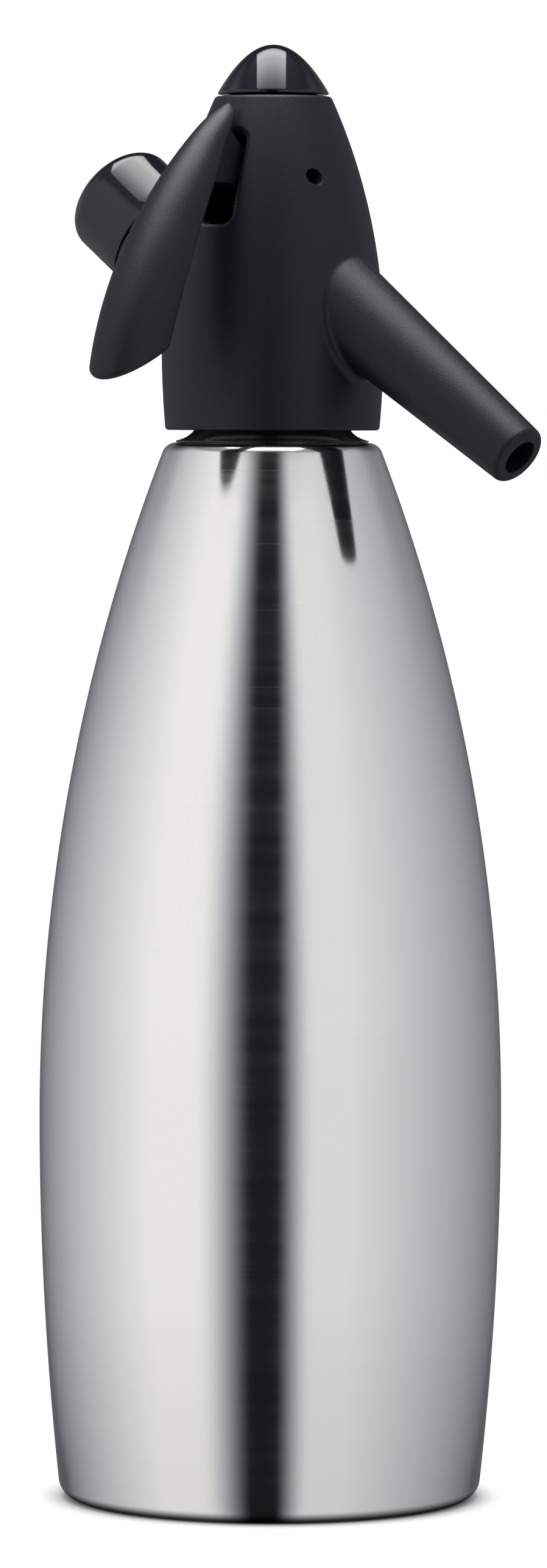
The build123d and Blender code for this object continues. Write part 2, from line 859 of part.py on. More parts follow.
# ---------------------------------------------------------------- dispensing valve
with BuildPart() as valve_seat:
    turned(
        [
            (seat_orifice, chamber_floor + seat_gap),
            (chamber_radius - press_gap, chamber_floor + seat_gap),
            (chamber_radius - press_gap, seat_top - seat_thickness / 3),
            (seat_orifice + seat_thickness, seat_top - seat_thickness / 3),
            (seat_orifice + seat_thickness / 2, seat_top),
            (seat_orifice, seat_top),
        ]
    )
save(valve_seat, "valve_seat")

with BuildPart() as valve_seal:
    turned(
        [
            (0, seat_top + seat_gap),
            (valve_seal_radius, seat_top + seat_gap),
            (valve_seal_radius, stem_bottom - seat_gap),
            (0, stem_bottom - seat_gap),
        ]
    )
save(valve_seal, "valve_seal")

with BuildPart() as valve_stem:
    turned(
        [
            (0, stem_bottom),
            (stem_head_radius, stem_bottom),
            (stem_head_radius, stem_bottom + stem_head_height),
            (stem_radius, stem_bottom + stem_head_height),
            (stem_radius, collar_disc_bottom),
            (collar_disc_radius, collar_disc_bottom),
            (collar_disc_radius, collar_disc_top),
            (stem_radius, collar_disc_top),
            (stem_radius, stem_top - stem_radius / 2),
            (stem_radius / 2, stem_top),
            (0, stem_top),
        ]
    )
save(valve_stem, "valve_stem")

gland_radius = gland_pocket_radius - slip_gap
with BuildPart() as stem_seal:
    sleeve(chamber_top + slip_gap, stem_seal_top, gland_radius, stem_radius + press_gap)
save(stem_seal, "stem_seal")

with BuildPart() as gland_nut:
    sleeve(gland_bottom, gland_shoulder + seat_gap, gland_radius, stem_radius + slip_gap)
    with BuildSketch(Plane.XY.offset(gland_shoulder + seat_gap)):
        RegularPolygon(gland_hex, nut_sides)
        Circle(stem_radius + slip_gap, mode=Mode.SUBTRACT)
    extrude(amount=gland_hex_height - seat_gap)
save(gland_nut, "gland_nut")

spring_bottom = collar_disc_top + seat_gap + spring_wire
spring_height = cap_pocket_top - seat_gap - spring_wire - spring_bottom
with BuildPart() as valve_spring:
    with BuildLine() as coil:
        Helix(
            pitch=spring_height / spring_turns,
            height=spring_height,
            radius=spring_radius,
            center=(0, 0, spring_bottom),
        )
    with BuildSketch(Plane(origin=coil.line @ 0, z_dir=coil.line % 0)):
        Circle(spring_wire)
    sweep()
save(valve_spring, "valve_spring")


# ---------------------------------------------------------------- top cap
with BuildPart() as top_cap:
    with BuildSketch(Plane.YZ):
        with BuildLine():
            Polyline(
                (0, cap_pocket_top),
                (cap_pocket_radius, cap_pocket_top),
                (cap_pocket_radius, cap_plug_bottom),
                (cap_plug_radius, cap_plug_bottom),
                (cap_plug_radius, cap_rim),
                (cap_radius - cap_edge, cap_rim),
                (cap_radius, cap_rim + cap_edge),
            )
            Bezier(
                (cap_radius, cap_rim + cap_edge),
                (cap_radius / 2, cap_rim + cap_height),
                (0, cap_rim + cap_height),
            )
            Line((0, cap_rim + cap_height), (0, cap_pocket_top))
        make_face()
    revolve(axis=Axis.Z)
save(top_cap, "top_cap")

cap_seal_middle = head_top - cap_seal_groove + seat_gap + cap_seal_section
with BuildPart() as cap_seal:
    with BuildSketch(Plane.YZ):
        with Locations((cap_seal_radius, cap_seal_middle)):
            Circle(cap_seal_section)
    revolve(axis=Axis.Z)
save(cap_seal, "cap_seal")


# ---------------------------------------------------------------- lever
def lever_section(fraction, inset=0.0, open_back=0.0):
    """One level section of the wing: half an ellipse whose flat side faces the head."""
    reach = lever_top_reach + (lever_bottom_reach - lever_top_reach + lever_rim_bow) * fraction
    reach -= lever_rim_bow * fraction**2
    span = 1 - (1 - fraction / lever_widest) ** 2
    half_width = lever_half_width * span**lever_fullness
    crown = lever_crown * half_width
    with BuildSketch(Plane.XY.offset(lever_top - lever_drop * fraction)) as level:
        with Locations((0, -reach)):
            Ellipse(half_width - inset, crown - inset)
            Rectangle(
                2 * half_width, 2 * crown, align=(Align.CENTER, Align.MIN), mode=Mode.SUBTRACT
            )
            if open_back:
                Rectangle(
                    2 * (half_width - inset), open_back, align=(Align.CENTER, Align.MIN)
                )
    return level.sketch


lever_end = Plane(
    origin=(0, -lever_end_reach, head_bottom + lever_end_rise),
    x_dir=(1, 0, 0),
    z_dir=(0, -sin(radians(lever_end_slope)), cos(radians(lever_end_slope))),
)
wing_stations = [wing_first] + [step / wing_steps for step in range(1, wing_steps + 1)]
pocket_stations = [
    lever_pocket_start + (lever_pocket_end - lever_pocket_start) * step / pocket_steps
    for step in range(pocket_steps + 1)
]
web_bottom = head_bottom + lever_web_rise
with BuildPart() as lever:
    tip = Vertex(0, -lever_top_reach - lever_tip_offset, lever_top)
    loft([tip] + [lever_section(fraction) for fraction in wing_stations])
    split(bisect_by=lever_end, keep=Keep.TOP)
    fillet(lever.faces().filter_by(lever_end)[0].edges(), radius=lever_end_round)
    loft(
        [lever_section(fraction, lever_wall, lever_wall) for fraction in pocket_stations],
        mode=Mode.SUBTRACT,
    )
    with BuildSketch(Plane.YZ.offset(-lever_web_half)):
        with BuildLine():
            Polyline(
                (-pivot_reach, pivot_height - lever_boss_radius),
                (-web_slot_reach, web_bottom),
                (-web_root_reach, web_bottom),
                (-web_shoulder_reach, pivot_height + web_shoulder_rise),
                (-web_peak_reach, pivot_height + web_peak_rise),
                (-web_throat_reach, pivot_height + web_throat_rise),
                (-pivot_reach, pivot_height + lever_boss_radius),
                close=True,
            )
        make_face()
        with Locations((-pivot_reach, pivot_height)):
            Circle(lever_boss_radius)
        with Locations((0, pivot_height)):
            Circle(fork_nose_radius)
        with Locations((-pivot_reach / 2, pivot_height)):
            Rectangle(pivot_reach, 2 * fork_nose_radius)
    extrude(amount=2 * lever_web_half)
    with BuildSketch(Plane.XY.offset(pivot_height - lever_boss_radius)):
        with Locations((0, -stem_radius - fork_slot_end)):
            Rectangle(2 * fork_slot_half, pivot_reach, align=(Align.CENTER, Align.MIN))
    extrude(amount=2 * lever_boss_radius, mode=Mode.SUBTRACT)
    with BuildSketch(Plane.YZ.offset(-lever_web_half)):
        with Locations((-pivot_reach, pivot_height)):
            Circle(pivot_pin_radius + press_gap)
    extrude(amount=2 * lever_web_half, mode=Mode.SUBTRACT)
save(lever, "lever")
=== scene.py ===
import json
import math

import bmesh
import bpy
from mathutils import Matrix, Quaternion, Vector


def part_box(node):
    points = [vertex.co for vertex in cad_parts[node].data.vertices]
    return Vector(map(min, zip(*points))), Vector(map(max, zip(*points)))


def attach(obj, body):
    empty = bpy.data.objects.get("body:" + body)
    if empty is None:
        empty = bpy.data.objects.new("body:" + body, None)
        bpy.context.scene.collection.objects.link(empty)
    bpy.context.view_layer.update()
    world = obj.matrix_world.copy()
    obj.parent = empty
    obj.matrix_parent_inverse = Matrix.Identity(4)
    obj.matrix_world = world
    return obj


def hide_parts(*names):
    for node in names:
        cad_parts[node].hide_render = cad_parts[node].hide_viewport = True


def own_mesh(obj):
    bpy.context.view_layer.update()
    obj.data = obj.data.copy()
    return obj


# Soda siphon: finishes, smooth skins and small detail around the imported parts. Metres, +Z up,
# +X towards the spout, -X towards the charger holder, -Y towards the lever.
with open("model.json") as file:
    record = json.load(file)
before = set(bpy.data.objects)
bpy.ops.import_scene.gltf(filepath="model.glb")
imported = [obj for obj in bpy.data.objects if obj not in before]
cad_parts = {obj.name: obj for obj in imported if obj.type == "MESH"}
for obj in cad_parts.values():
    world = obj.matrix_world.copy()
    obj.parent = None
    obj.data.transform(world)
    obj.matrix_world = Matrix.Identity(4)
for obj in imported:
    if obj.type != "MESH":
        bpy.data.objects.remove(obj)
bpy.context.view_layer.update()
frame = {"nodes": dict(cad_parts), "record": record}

MM = 0.001

# ---------------------------------------------------------------- sizes that the parts share
BELLY_RADIUS = 50.0
BELLY_HEIGHT = 83.5
FOOT_RADIUS = 45.3
FOOT_ROUND = 4.0
BOTTLE_HEIGHT = 228.5
SHOULDER_RADIUS = 22.9
SHOULDER_ROUND = 3.2
SHEET_WALL = 0.8
NECK_OPENING = 15.85
CHARGER_SLOPE = math.radians(37.4)
CHARGER_CENTRE = Vector((0, 0, 249.2))
CHARGER_WAY = Vector((-math.cos(CHARGER_SLOPE), 0, math.sin(CHARGER_SLOPE)))


# ---------------------------------------------------------------- turned and swept skins
def arc(centre, radius, start, end, steps):
    """Points (radius, height) on a circle's arc, from one angle to another, in degrees."""
    points = []
    for step in range(steps + 1):
        angle = math.radians(start + (end - start) * step / steps)
        points.append((centre[0] + radius * math.cos(angle), centre[1] + radius * math.sin(angle)))
    return points


def straight(start, end, steps):
    """Points from start to end, the end included."""
    return [
        (start[0] + (end[0] - start[0]) * step / steps, start[1] + (end[1] - start[1]) * step / steps)
        for step in range(steps + 1)
    ]


def bowed(controls, steps):
    """Points on a Bezier line through two or three control arms."""
    points = []
    for step in range(steps + 1):
        share = step / steps
        row = [Vector(point) for point in controls]
        while len(row) > 1:
            row = [row[i].lerp(row[i + 1], share) for i in range(len(row) - 1)]
        points.append(tuple(row[0]))
    return points


def join(*runs):
    """One outline from several runs, without repeated points."""
    outline = []
    for run in runs:
        for point in run:
            if not outline or (Vector(point) - Vector(outline[-1])).length > 1e-4:
                outline.append(point)
    return outline


def smooth(piece, angle):
    """Smooth shading, broken only where the surface turns sharply."""
    piece.data.polygons.foreach_set("use_smooth", [True] * len(piece.data.polygons))
    piece.data.set_sharp_from_angle(angle=math.radians(angle))


def finished_piece(name, shell, sharp_angle=32):
    """A piece from a worked shell, its faces outward and its shading smooth."""
    bmesh.ops.recalc_face_normals(shell, faces=shell.faces)
    mesh = bpy.data.meshes.new(name)
    shell.to_mesh(mesh)
    shell.free()
    piece = bpy.data.objects.new(name, mesh)
    bpy.context.scene.collection.objects.link(piece)
    smooth(piece, sharp_angle)
    return piece


def turned_skin(
    name, outline, segments=192, origin=Vector((0, 0, 0)), way=Vector((0, 0, 1)), closed=False
):
    """A skin turned from an outline of (radius, distance along the axis) in millimetres."""
    side = Vector((0, 1, 0))
    across = side.cross(way).normalized()
    shell = bmesh.new()
    rings = []
    for radius, along in outline:
        if radius < 1e-6:
            rings.append([shell.verts.new((origin + way * along) * MM)])
            continue
        ring = []
        for segment in range(segments):
            angle = 2 * math.pi * segment / segments
            out = across * math.cos(angle) + side * math.sin(angle)
            ring.append(shell.verts.new((origin + way * along + out * radius) * MM))
        rings.append(ring)
    pairs = list(zip(rings, rings[1:]))
    if closed:
        pairs.append((rings[-1], rings[0]))
    for first, second in pairs:
        for segment in range(segments):
            following = (segment + 1) % segments
            if len(first) == 1 and len(second) == 1:
                continue
            if len(first) == 1:
                corners = [first[0], second[following], second[segment]]
            elif len(second) == 1:
                corners = [first[segment], first[following], second[0]]
            else:
                corners = [first[segment], first[following], second[following], second[segment]]
            shell.faces.new(corners)
    return finished_piece(name, shell)


def stand_for(piece, node, body, finish):
    """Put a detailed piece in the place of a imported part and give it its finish."""
    piece.data.materials.clear()
    piece.data.materials.append(finish)
    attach(piece, body)
    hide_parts(node)
    return piece


# ---------------------------------------------------------------- node trees
def add_node(tree, kind, inputs=None, **settings):
    """One node with its settings and its unlinked input values."""
    made = tree.nodes.new(kind)
    for name, value in settings.items():
        setattr(made, name, value)
    for name, value in (inputs or {}).items():
        made.inputs[name].default_value = value
    return made


def wire(tree, source, output, target, socket):
    """Link an output to an input."""
    tree.links.new(source.outputs[output], target.inputs[socket])


def shifted(tree, source, output, low_value, high_value, low_mask=0.0, high_mask=1.0):
    """A mask spread over a range of values."""
    spread = add_node(
        tree,
        "ShaderNodeMapRange",
        {"From Min": low_mask, "From Max": high_mask, "To Min": low_value, "To Max": high_value},
    )
    wire(tree, source, output, spread, "Value")
    return spread


def soft_step(tree, source, output, start, end, low_value=0.0, high_value=1.0):
    """A value that goes softly from one level to another between two places."""
    step = add_node(
        tree,
        "ShaderNodeMapRange",
        {"From Min": start, "From Max": end, "To Min": low_value, "To Max": high_value},
        interpolation_type="SMOOTHSTEP",
    )
    wire(tree, source, output, step, "Value")
    return step


def combined(tree, first, second, operation="ADD"):
    """Two values worked into one: their sum, or what the operation says."""
    total = add_node(tree, "ShaderNodeMath", operation=operation)
    tree.links.new(first, total.inputs[0])
    tree.links.new(second, total.inputs[1])
    return total


def node_group(name, inputs, outputs):
    """An empty shader group with named sockets."""
    group = bpy.data.node_groups.new(name, "ShaderNodeTree")
    for label, kind, value in inputs:
        socket = group.interface.new_socket(name=label, in_out="INPUT", socket_type=kind)
        socket.default_value = value
    for label, kind in outputs:
        group.interface.new_socket(name=label, in_out="OUTPUT", socket_type=kind)
    return group, group.nodes.new("NodeGroupInput"), group.nodes.new("NodeGroupOutput")


def moulded_grain_group():
    """The even grain that a spark-eroded mould leaves in plastic and rubber."""
    group, given, result = node_group(
        "moulded_grain",
        [("Grain Size", "NodeSocketFloat", 0.0003)],
        [("Height", "NodeSocketFloat"), ("Speckle", "NodeSocketFloat")],
    )
    place = add_node(group, "ShaderNodeTexCoord")
    density = add_node(group, "ShaderNodeMath", {0: 1.0}, operation="DIVIDE")
    wire(group, given, "Grain Size", density, 1)
    scaled = add_node(group, "ShaderNodeVectorMath", operation="SCALE")
    wire(group, place, "Object", scaled, 0)
    wire(group, density, 0, scaled, "Scale")
    pits = add_node(group, "ShaderNodeTexVoronoi", {"Scale": 1.0, "Randomness": 1.0}, feature="SMOOTH_F1")
    wire(group, scaled, 0, pits, "Vector")
    rough = add_node(group, "ShaderNodeTexNoise", {"Scale": 1.7, "Detail": 3.0, "Roughness": 0.6})
    wire(group, scaled, 0, rough, "Vector")
    height = add_node(group, "ShaderNodeMath", operation="ADD")
    wire(group, pits, "Distance", height, 0)
    wire(group, rough, "Fac", height, 1)
    speckle = shifted(group, rough, "Fac", 0.0, 1.0, 0.42, 0.72)
    wire(group, height, 0, result, "Height")
    wire(group, speckle, 0, result, "Speckle")
    return group


def lathe_lines_group():
    """Fine lines that polishing on a lathe leaves round the Z axis of the given place."""
    group, given, result = node_group(
        "lathe_lines",
        [
            ("Place", "NodeSocketVector", (0, 0, 0)),
            ("Line Spacing", "NodeSocketFloat", 0.0003),
            ("Line Length", "NodeSocketFloat", 0.03),
        ],
        [("Height", "NodeSocketFloat"), ("Streak", "NodeSocketFloat"), ("Scratch", "NodeSocketFloat")],
    )
    across = add_node(group, "ShaderNodeMath", {0: 1.0}, operation="DIVIDE")
    wire(group, given, "Line Spacing", across, 1)
    along = add_node(group, "ShaderNodeMath", {0: 1.0}, operation="DIVIDE")
    wire(group, given, "Line Length", along, 1)
    stretch = add_node(group, "ShaderNodeCombineXYZ")
    wire(group, along, 0, stretch, "X")
    wire(group, along, 0, stretch, "Y")
    wire(group, across, 0, stretch, "Z")
    stretched = add_node(group, "ShaderNodeVectorMath", operation="MULTIPLY")
    wire(group, given, "Place", stretched, 0)
    wire(group, stretch, 0, stretched, 1)
    lines = add_node(group, "ShaderNodeTexNoise", {"Scale": 1.0, "Detail": 4.0, "Roughness": 0.7})
    wire(group, stretched, 0, lines, "Vector")
    coarse = add_node(group, "ShaderNodeVectorMath", {1: (0.35, 0.35, 0.12)}, operation="MULTIPLY")
    wire(group, stretched, 0, coarse, 0)
    bands = add_node(group, "ShaderNodeTexNoise", {"Scale": 1.0, "Detail": 3.0, "Roughness": 0.55})
    wire(group, coarse, 0, bands, "Vector")
    fine = add_node(group, "ShaderNodeVectorMath", {1: (2.3, 2.3, 0.9)}, operation="MULTIPLY")
    wire(group, stretched, 0, fine, 0)
    marks = add_node(group, "ShaderNodeTexNoise", {"Scale": 1.0, "Detail": 1.0, "Roughness": 0.4})
    wire(group, fine, 0, marks, "Vector")
    scratch = shifted(group, marks, "Fac", 0.0, 1.0, 0.66, 0.74)
    wire(group, lines, "Fac", result, "Height")
    wire(group, bands, "Fac", result, "Streak")
    wire(group, scratch, 0, result, "Scratch")
    return group


def handling_group():
    """Traces of use: soft smudges where hands go, and a little dust on what faces up."""
    group, given, result = node_group(
        "handling",
        [("Smudge Size", "NodeSocketFloat", 0.03), ("Dust Reach", "NodeSocketFloat", 0.5)],
        [("Smudge", "NodeSocketFloat"), ("Dust", "NodeSocketFloat")],
    )
    place = add_node(group, "ShaderNodeTexCoord")
    density = add_node(group, "ShaderNodeMath", {0: 1.0}, operation="DIVIDE")
    wire(group, given, "Smudge Size", density, 1)
    scaled = add_node(group, "ShaderNodeVectorMath", operation="SCALE")
    wire(group, place, "Object", scaled, 0)
    wire(group, density, 0, scaled, "Scale")
    clouds = add_node(
        group, "ShaderNodeTexNoise", {"Scale": 1.0, "Detail": 4.0, "Roughness": 0.6, "Distortion": 0.6}
    )
    wire(group, scaled, 0, clouds, "Vector")
    smudge = shifted(group, clouds, "Fac", 0.0, 1.0, 0.45, 0.75)
    surface = add_node(group, "ShaderNodeNewGeometry")
    facing = add_node(group, "ShaderNodeSeparateXYZ")
    wire(group, surface, "Normal", facing, 0)
    upward = shifted(group, facing, "Z", 0.0, 1.0, 0.55, 1.0)
    specks = add_node(group, "ShaderNodeTexNoise", {"Scale": 1900.0, "Detail": 2.0, "Roughness": 0.6})
    wire(group, place, "Object", specks, "Vector")
    grains = shifted(group, specks, "Fac", 0.0, 1.0, 0.62, 0.72)
    settled = combined(group, upward.outputs[0], grains.outputs[0], "MULTIPLY")
    dust = add_node(group, "ShaderNodeMath", operation="MULTIPLY")
    wire(group, settled, 0, dust, 0)
    wire(group, given, "Dust Reach", dust, 1)
    wire(group, smudge, 0, result, "Smudge")
    wire(group, dust, 0, result, "Dust")
    return group


def edge_wear_group():
    """Where edges are rubbed: a mask from how far a rounded normal leaves the plain one."""
    group, given, result = node_group(
        "edge_wear",
        [("Radius", "NodeSocketFloat", 0.0006)],
        [("Worn", "NodeSocketFloat"), ("Normal", "NodeSocketVector")],
    )
    rounded = add_node(group, "ShaderNodeBevel", samples=6)
    wire(group, given, "Radius", rounded, "Radius")
    surface = add_node(group, "ShaderNodeNewGeometry")
    agreement = add_node(group, "ShaderNodeVectorMath", operation="DOT_PRODUCT")
    wire(group, rounded, "Normal", agreement, 0)
    wire(group, surface, "Normal", agreement, 1)
    turned_away = shifted(group, agreement, "Value", 0.0, 1.0, 0.995, 0.86)
    patches = add_node(group, "ShaderNodeTexNoise", {"Scale": 300.0, "Detail": 3.0, "Roughness": 0.7})
    place = add_node(group, "ShaderNodeTexCoord")
    wire(group, place, "Object", patches, "Vector")
    broken = add_node(group, "ShaderNodeMath", operation="MULTIPLY")
    wire(group, turned_away, 0, broken, 0)
    wire(group, patches, "Fac", broken, 1)
    wire(group, broken, 0, result, "Worn")
    wire(group, rounded, "Normal", result, "Normal")
    return group


MOULDED_GRAIN = moulded_grain_group()
LATHE_LINES = lathe_lines_group()
HANDLING = handling_group()
EDGE_WEAR = edge_wear_group()


def placed_group(tree, group, **inputs):
    """A group in a material, with its own values."""
    made = tree.nodes.new("ShaderNodeGroup")
    made.node_tree = group
    for name, value in inputs.items():
        made.inputs[name.replace("_", " ").title()].default_value = value
    return made


def mixed_colour(tree, amount, output, base, other):
    """A colour that goes from base to other by a mask."""
    mix = add_node(tree, "ShaderNodeMix", data_type="RGBA")
    mix.inputs["A"].default_value = (*base, 1) if isinstance(base, tuple) else (0, 0, 0, 1)
    mix.inputs["B"].default_value = (*other, 1)
    if not isinstance(base, tuple):
        tree.links.new(base, mix.inputs["A"])
    wire(tree, amount, output, mix, 0)
    return mix.outputs["Result"]


def new_finish(name):
    """A material with an empty Principled surface."""
    finish = bpy.data.materials.new(name)
    finish.use_nodes = True
    tree = finish.node_tree
    surface = next(n for n in tree.nodes if n.type == "BSDF_PRINCIPLED")
    return finish, tree, surface


DUST_COLOUR = (0.30, 0.29, 0.28)


def moulded_plastic(
    name, colour, roughness, grain, bump, worn, speckle=0.0, smudge=0.06, dust=0.15, edge=0.0005, shine=0.5
):
    """Injection-moulded plastic or rubber: grain, soft smudges, a trace of dust, rubbed edges."""
    finish, tree, surface = new_finish(name)
    surface.inputs["Specular IOR Level"].default_value = shine
    texture = placed_group(tree, MOULDED_GRAIN, grain_size=grain)
    traces = placed_group(tree, HANDLING, smudge_size=0.028, dust_reach=dust)
    edges = placed_group(tree, EDGE_WEAR, radius=edge)
    pale = tuple(min(1.0, channel * (1 + speckle)) for channel in colour)
    base = mixed_colour(tree, texture, "Speckle", colour, pale)
    base = mixed_colour(tree, edges, "Worn", base, worn)
    base = mixed_colour(tree, traces, "Dust", base, DUST_COLOUR)
    tree.links.new(base, surface.inputs["Base Color"])
    soft = shifted(tree, texture, "Speckle", roughness * 0.93, roughness * 1.12)
    hands = shifted(tree, traces, "Smudge", 0.0, -smudge)
    total = combined(tree, soft.outputs[0], hands.outputs[0])
    wire(tree, total, 0, surface, "Roughness")
    relief = add_node(tree, "ShaderNodeBump", {"Strength": bump, "Distance": grain * 0.35})
    wire(tree, texture, "Height", relief, "Height")
    wire(tree, edges, "Normal", relief, "Normal")
    wire(tree, relief, 0, surface, "Normal")
    return finish


def turned_metal(
    name, colour, roughness, spacing, length, bump, shade=0.06, turn=0.0, anisotropy=0.0, worn=None
):
    """Metal polished on a lathe: fine lines round the turning axis, streaks, smudges, bright edges."""
    finish, tree, surface = new_finish(name)
    surface.inputs["Metallic"].default_value = 1.0
    place = add_node(tree, "ShaderNodeTexCoord")
    upright = add_node(tree, "ShaderNodeVectorRotate", {"Angle": turn}, rotation_type="Y_AXIS")
    wire(tree, place, "Object", upright, "Vector")
    lines = placed_group(tree, LATHE_LINES, line_spacing=spacing, line_length=length)
    wire(tree, upright, 0, lines, "Place")
    traces = placed_group(tree, HANDLING, smudge_size=0.045, dust_reach=0.1)
    dark = tuple(channel * (1 - shade) for channel in colour)
    base = mixed_colour(tree, lines, "Streak", dark, colour)
    if worn:
        edges = placed_group(tree, EDGE_WEAR, radius=0.0003)
        base = mixed_colour(tree, edges, "Worn", base, worn)
    tree.links.new(base, surface.inputs["Base Color"])
    grain = shifted(tree, lines, "Streak", roughness - 0.03, roughness + 0.04, 0.3, 0.7)
    hands = shifted(tree, traces, "Smudge", 0.0, 0.03)
    total = combined(tree, grain.outputs[0], hands.outputs[0])
    marks = shifted(tree, lines, "Scratch", 0.0, 0.05)
    total = combined(tree, total.outputs[0], marks.outputs[0])
    wire(tree, total, 0, surface, "Roughness")
    relief = add_node(tree, "ShaderNodeBump", {"Strength": bump, "Distance": 0.00002})
    wire(tree, lines, "Height", relief, "Height")
    wire(tree, relief, 0, surface, "Normal")
    if anisotropy:
        surface.inputs["Anisotropic"].default_value = anisotropy
        surface.inputs["Anisotropic Rotation"].default_value = 0.25
        around = add_node(tree, "ShaderNodeTangent", direction_type="RADIAL", axis="Z")
        wire(tree, around, 0, surface, "Tangent")
    return finish


CHARGER_TURN = math.pi / 2 - CHARGER_SLOPE
finishes = {
    "stainless_brushed": turned_metal(
        "stainless_brushed", (0.70, 0.70, 0.695), 0.12, 0.0005, 0.08, 0.03, shade=0.03, anisotropy=0.5
    ),
    "stainless_bright": turned_metal("stainless_bright", (0.68, 0.68, 0.67), 0.18, 0.0002, 0.02, 0.2),
    "spring_steel": turned_metal("spring_steel", (0.50, 0.50, 0.51), 0.28, 0.0004, 0.01, 0.3, shade=0.15),
    "charger_steel": turned_metal(
        "charger_steel", (0.60, 0.61, 0.63), 0.30, 0.0006, 0.01, 0.4, shade=0.12, turn=CHARGER_TURN
    ),
    "plated_brass": turned_metal(
        "plated_brass", (0.70, 0.62, 0.44), 0.28, 0.0004, 0.012, 0.35, shade=0.15, worn=(0.78, 0.60, 0.30)
    ),
    "black_casing": moulded_plastic(
        "black_casing",
        (0.0030, 0.0036, 0.0076),
        0.50,
        0.00028,
        0.25,
        (0.010, 0.011, 0.015),
        speckle=0.6,
        shine=0.30,
    ),
    "black_collar": moulded_plastic(
        "black_collar", (0.010, 0.010, 0.011), 0.26, 0.0004, 0.1, (0.02, 0.02, 0.021)
    ),
    "black_gloss": moulded_plastic(
        "black_gloss",
        (0.0040, 0.0046, 0.0090),
        0.045,
        0.0009,
        0.004,
        (0.006, 0.007, 0.011),
        smudge=-0.02,
        dust=0.04,
        shine=0.41,
    ),
    "white_plastic": moulded_plastic(
        "white_plastic", (0.78, 0.77, 0.72), 0.35, 0.0004, 0.15, (0.70, 0.68, 0.62)
    ),
    "black_rubber": moulded_plastic(
        "black_rubber", (0.022, 0.022, 0.022), 0.62, 0.0003, 0.4, (0.05, 0.05, 0.05), dust=0.3
    ),
    "red_rubber": moulded_plastic(
        "red_rubber", (0.42, 0.05, 0.04), 0.5, 0.0003, 0.3, (0.5, 0.12, 0.1)
    ),
}

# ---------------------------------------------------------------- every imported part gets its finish
slot_of = {part["node"]: part["material_slot"] for part in frame["record"]["subparts"]}
bodies = frame["record"]["behaviour"]["bodies"]
body_of = {node: body for body, nodes in bodies.items() for node in nodes}
for node, part in frame["nodes"].items():
    part.data.materials.clear()
    part.data.materials.append(finishes[slot_of[node]])


def dress(piece, node):
    """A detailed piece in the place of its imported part, on the same body, with the same finish."""
    return stand_for(piece, node, body_of[node], finishes[slot_of[node]])


# ---------------------------------------------------------------- bottle skin
def bottle_outline(inset):
    """The bottle's outline from the foot to the shoulder: two big arcs and two rounded edges."""
    reach = BELLY_RADIUS - FOOT_RADIUS
    foot_arc = (reach**2 + BELLY_HEIGHT**2) / (2 * reach)
    rise = BOTTLE_HEIGHT - BELLY_HEIGHT
    drop = BELLY_RADIUS - SHOULDER_RADIUS
    shoulder_arc = (drop**2 + rise**2) / (2 * drop)
    foot_centre = BELLY_RADIUS - foot_arc
    shoulder_centre = BELLY_RADIUS - shoulder_arc
    down = BELLY_HEIGHT - FOOT_ROUND
    foot_x = foot_centre + math.sqrt((foot_arc - FOOT_ROUND) ** 2 - down**2)
    up = rise - SHOULDER_ROUND
    shoulder_x = shoulder_centre + math.sqrt((shoulder_arc - SHOULDER_ROUND) ** 2 - up**2)
    foot_angle = math.degrees(math.atan2(-down, foot_x - foot_centre))
    shoulder_angle = math.degrees(math.atan2(up, shoulder_x - shoulder_centre))
    return join(
        arc((foot_x, FOOT_ROUND), FOOT_ROUND - inset, -90, foot_angle, 14),
        arc((foot_centre, BELLY_HEIGHT), foot_arc - inset, foot_angle, 0, 40),
        arc((shoulder_centre, BELLY_HEIGHT), shoulder_arc - inset, 0, shoulder_angle, 70),
        arc((shoulder_x, BOTTLE_HEIGHT - SHOULDER_ROUND), SHOULDER_ROUND - inset, shoulder_angle, 90, 18),
    )


BASE_DISC_RADIUS = 30.0
GROOVE_START = 31.2
GROOVE_END = 35.3
FOOT_RING_RADIUS = 36.5
GROOVE_DEPTH = 1.5
GROOVE_LIP = 0.5
NECK_CHAMFER = 0.25
GROOVE_ROOF = GROOVE_DEPTH + SHEET_WALL
skin = join(
    [(0.0, 0.0)],
    straight((12.0, 0.0), (BASE_DISC_RADIUS, 0.0), 2),
    arc((BASE_DISC_RADIUS, GROOVE_LIP), GROOVE_LIP, -90, -39, 4),
    [(GROOVE_START, GROOVE_DEPTH), (GROOVE_END, GROOVE_DEPTH)],
    arc((FOOT_RING_RADIUS, GROOVE_LIP), GROOVE_LIP, -141, -90, 4),
    bottle_outline(0.0),
    [(NECK_OPENING + NECK_CHAMFER, BOTTLE_HEIGHT), (NECK_OPENING, BOTTLE_HEIGHT - NECK_CHAMFER)],
    [(NECK_OPENING, BOTTLE_HEIGHT - SHEET_WALL)],
    list(reversed(bottle_outline(SHEET_WALL))),
    [(FOOT_RING_RADIUS, SHEET_WALL), (GROOVE_END, GROOVE_ROOF), (GROOVE_START, GROOVE_ROOF)],
    [(BASE_DISC_RADIUS, SHEET_WALL), (0.0, SHEET_WALL)],
)
bottle_skin = turned_skin("bottle_skin", skin, segments=256)
dress(bottle_skin, "bottle")

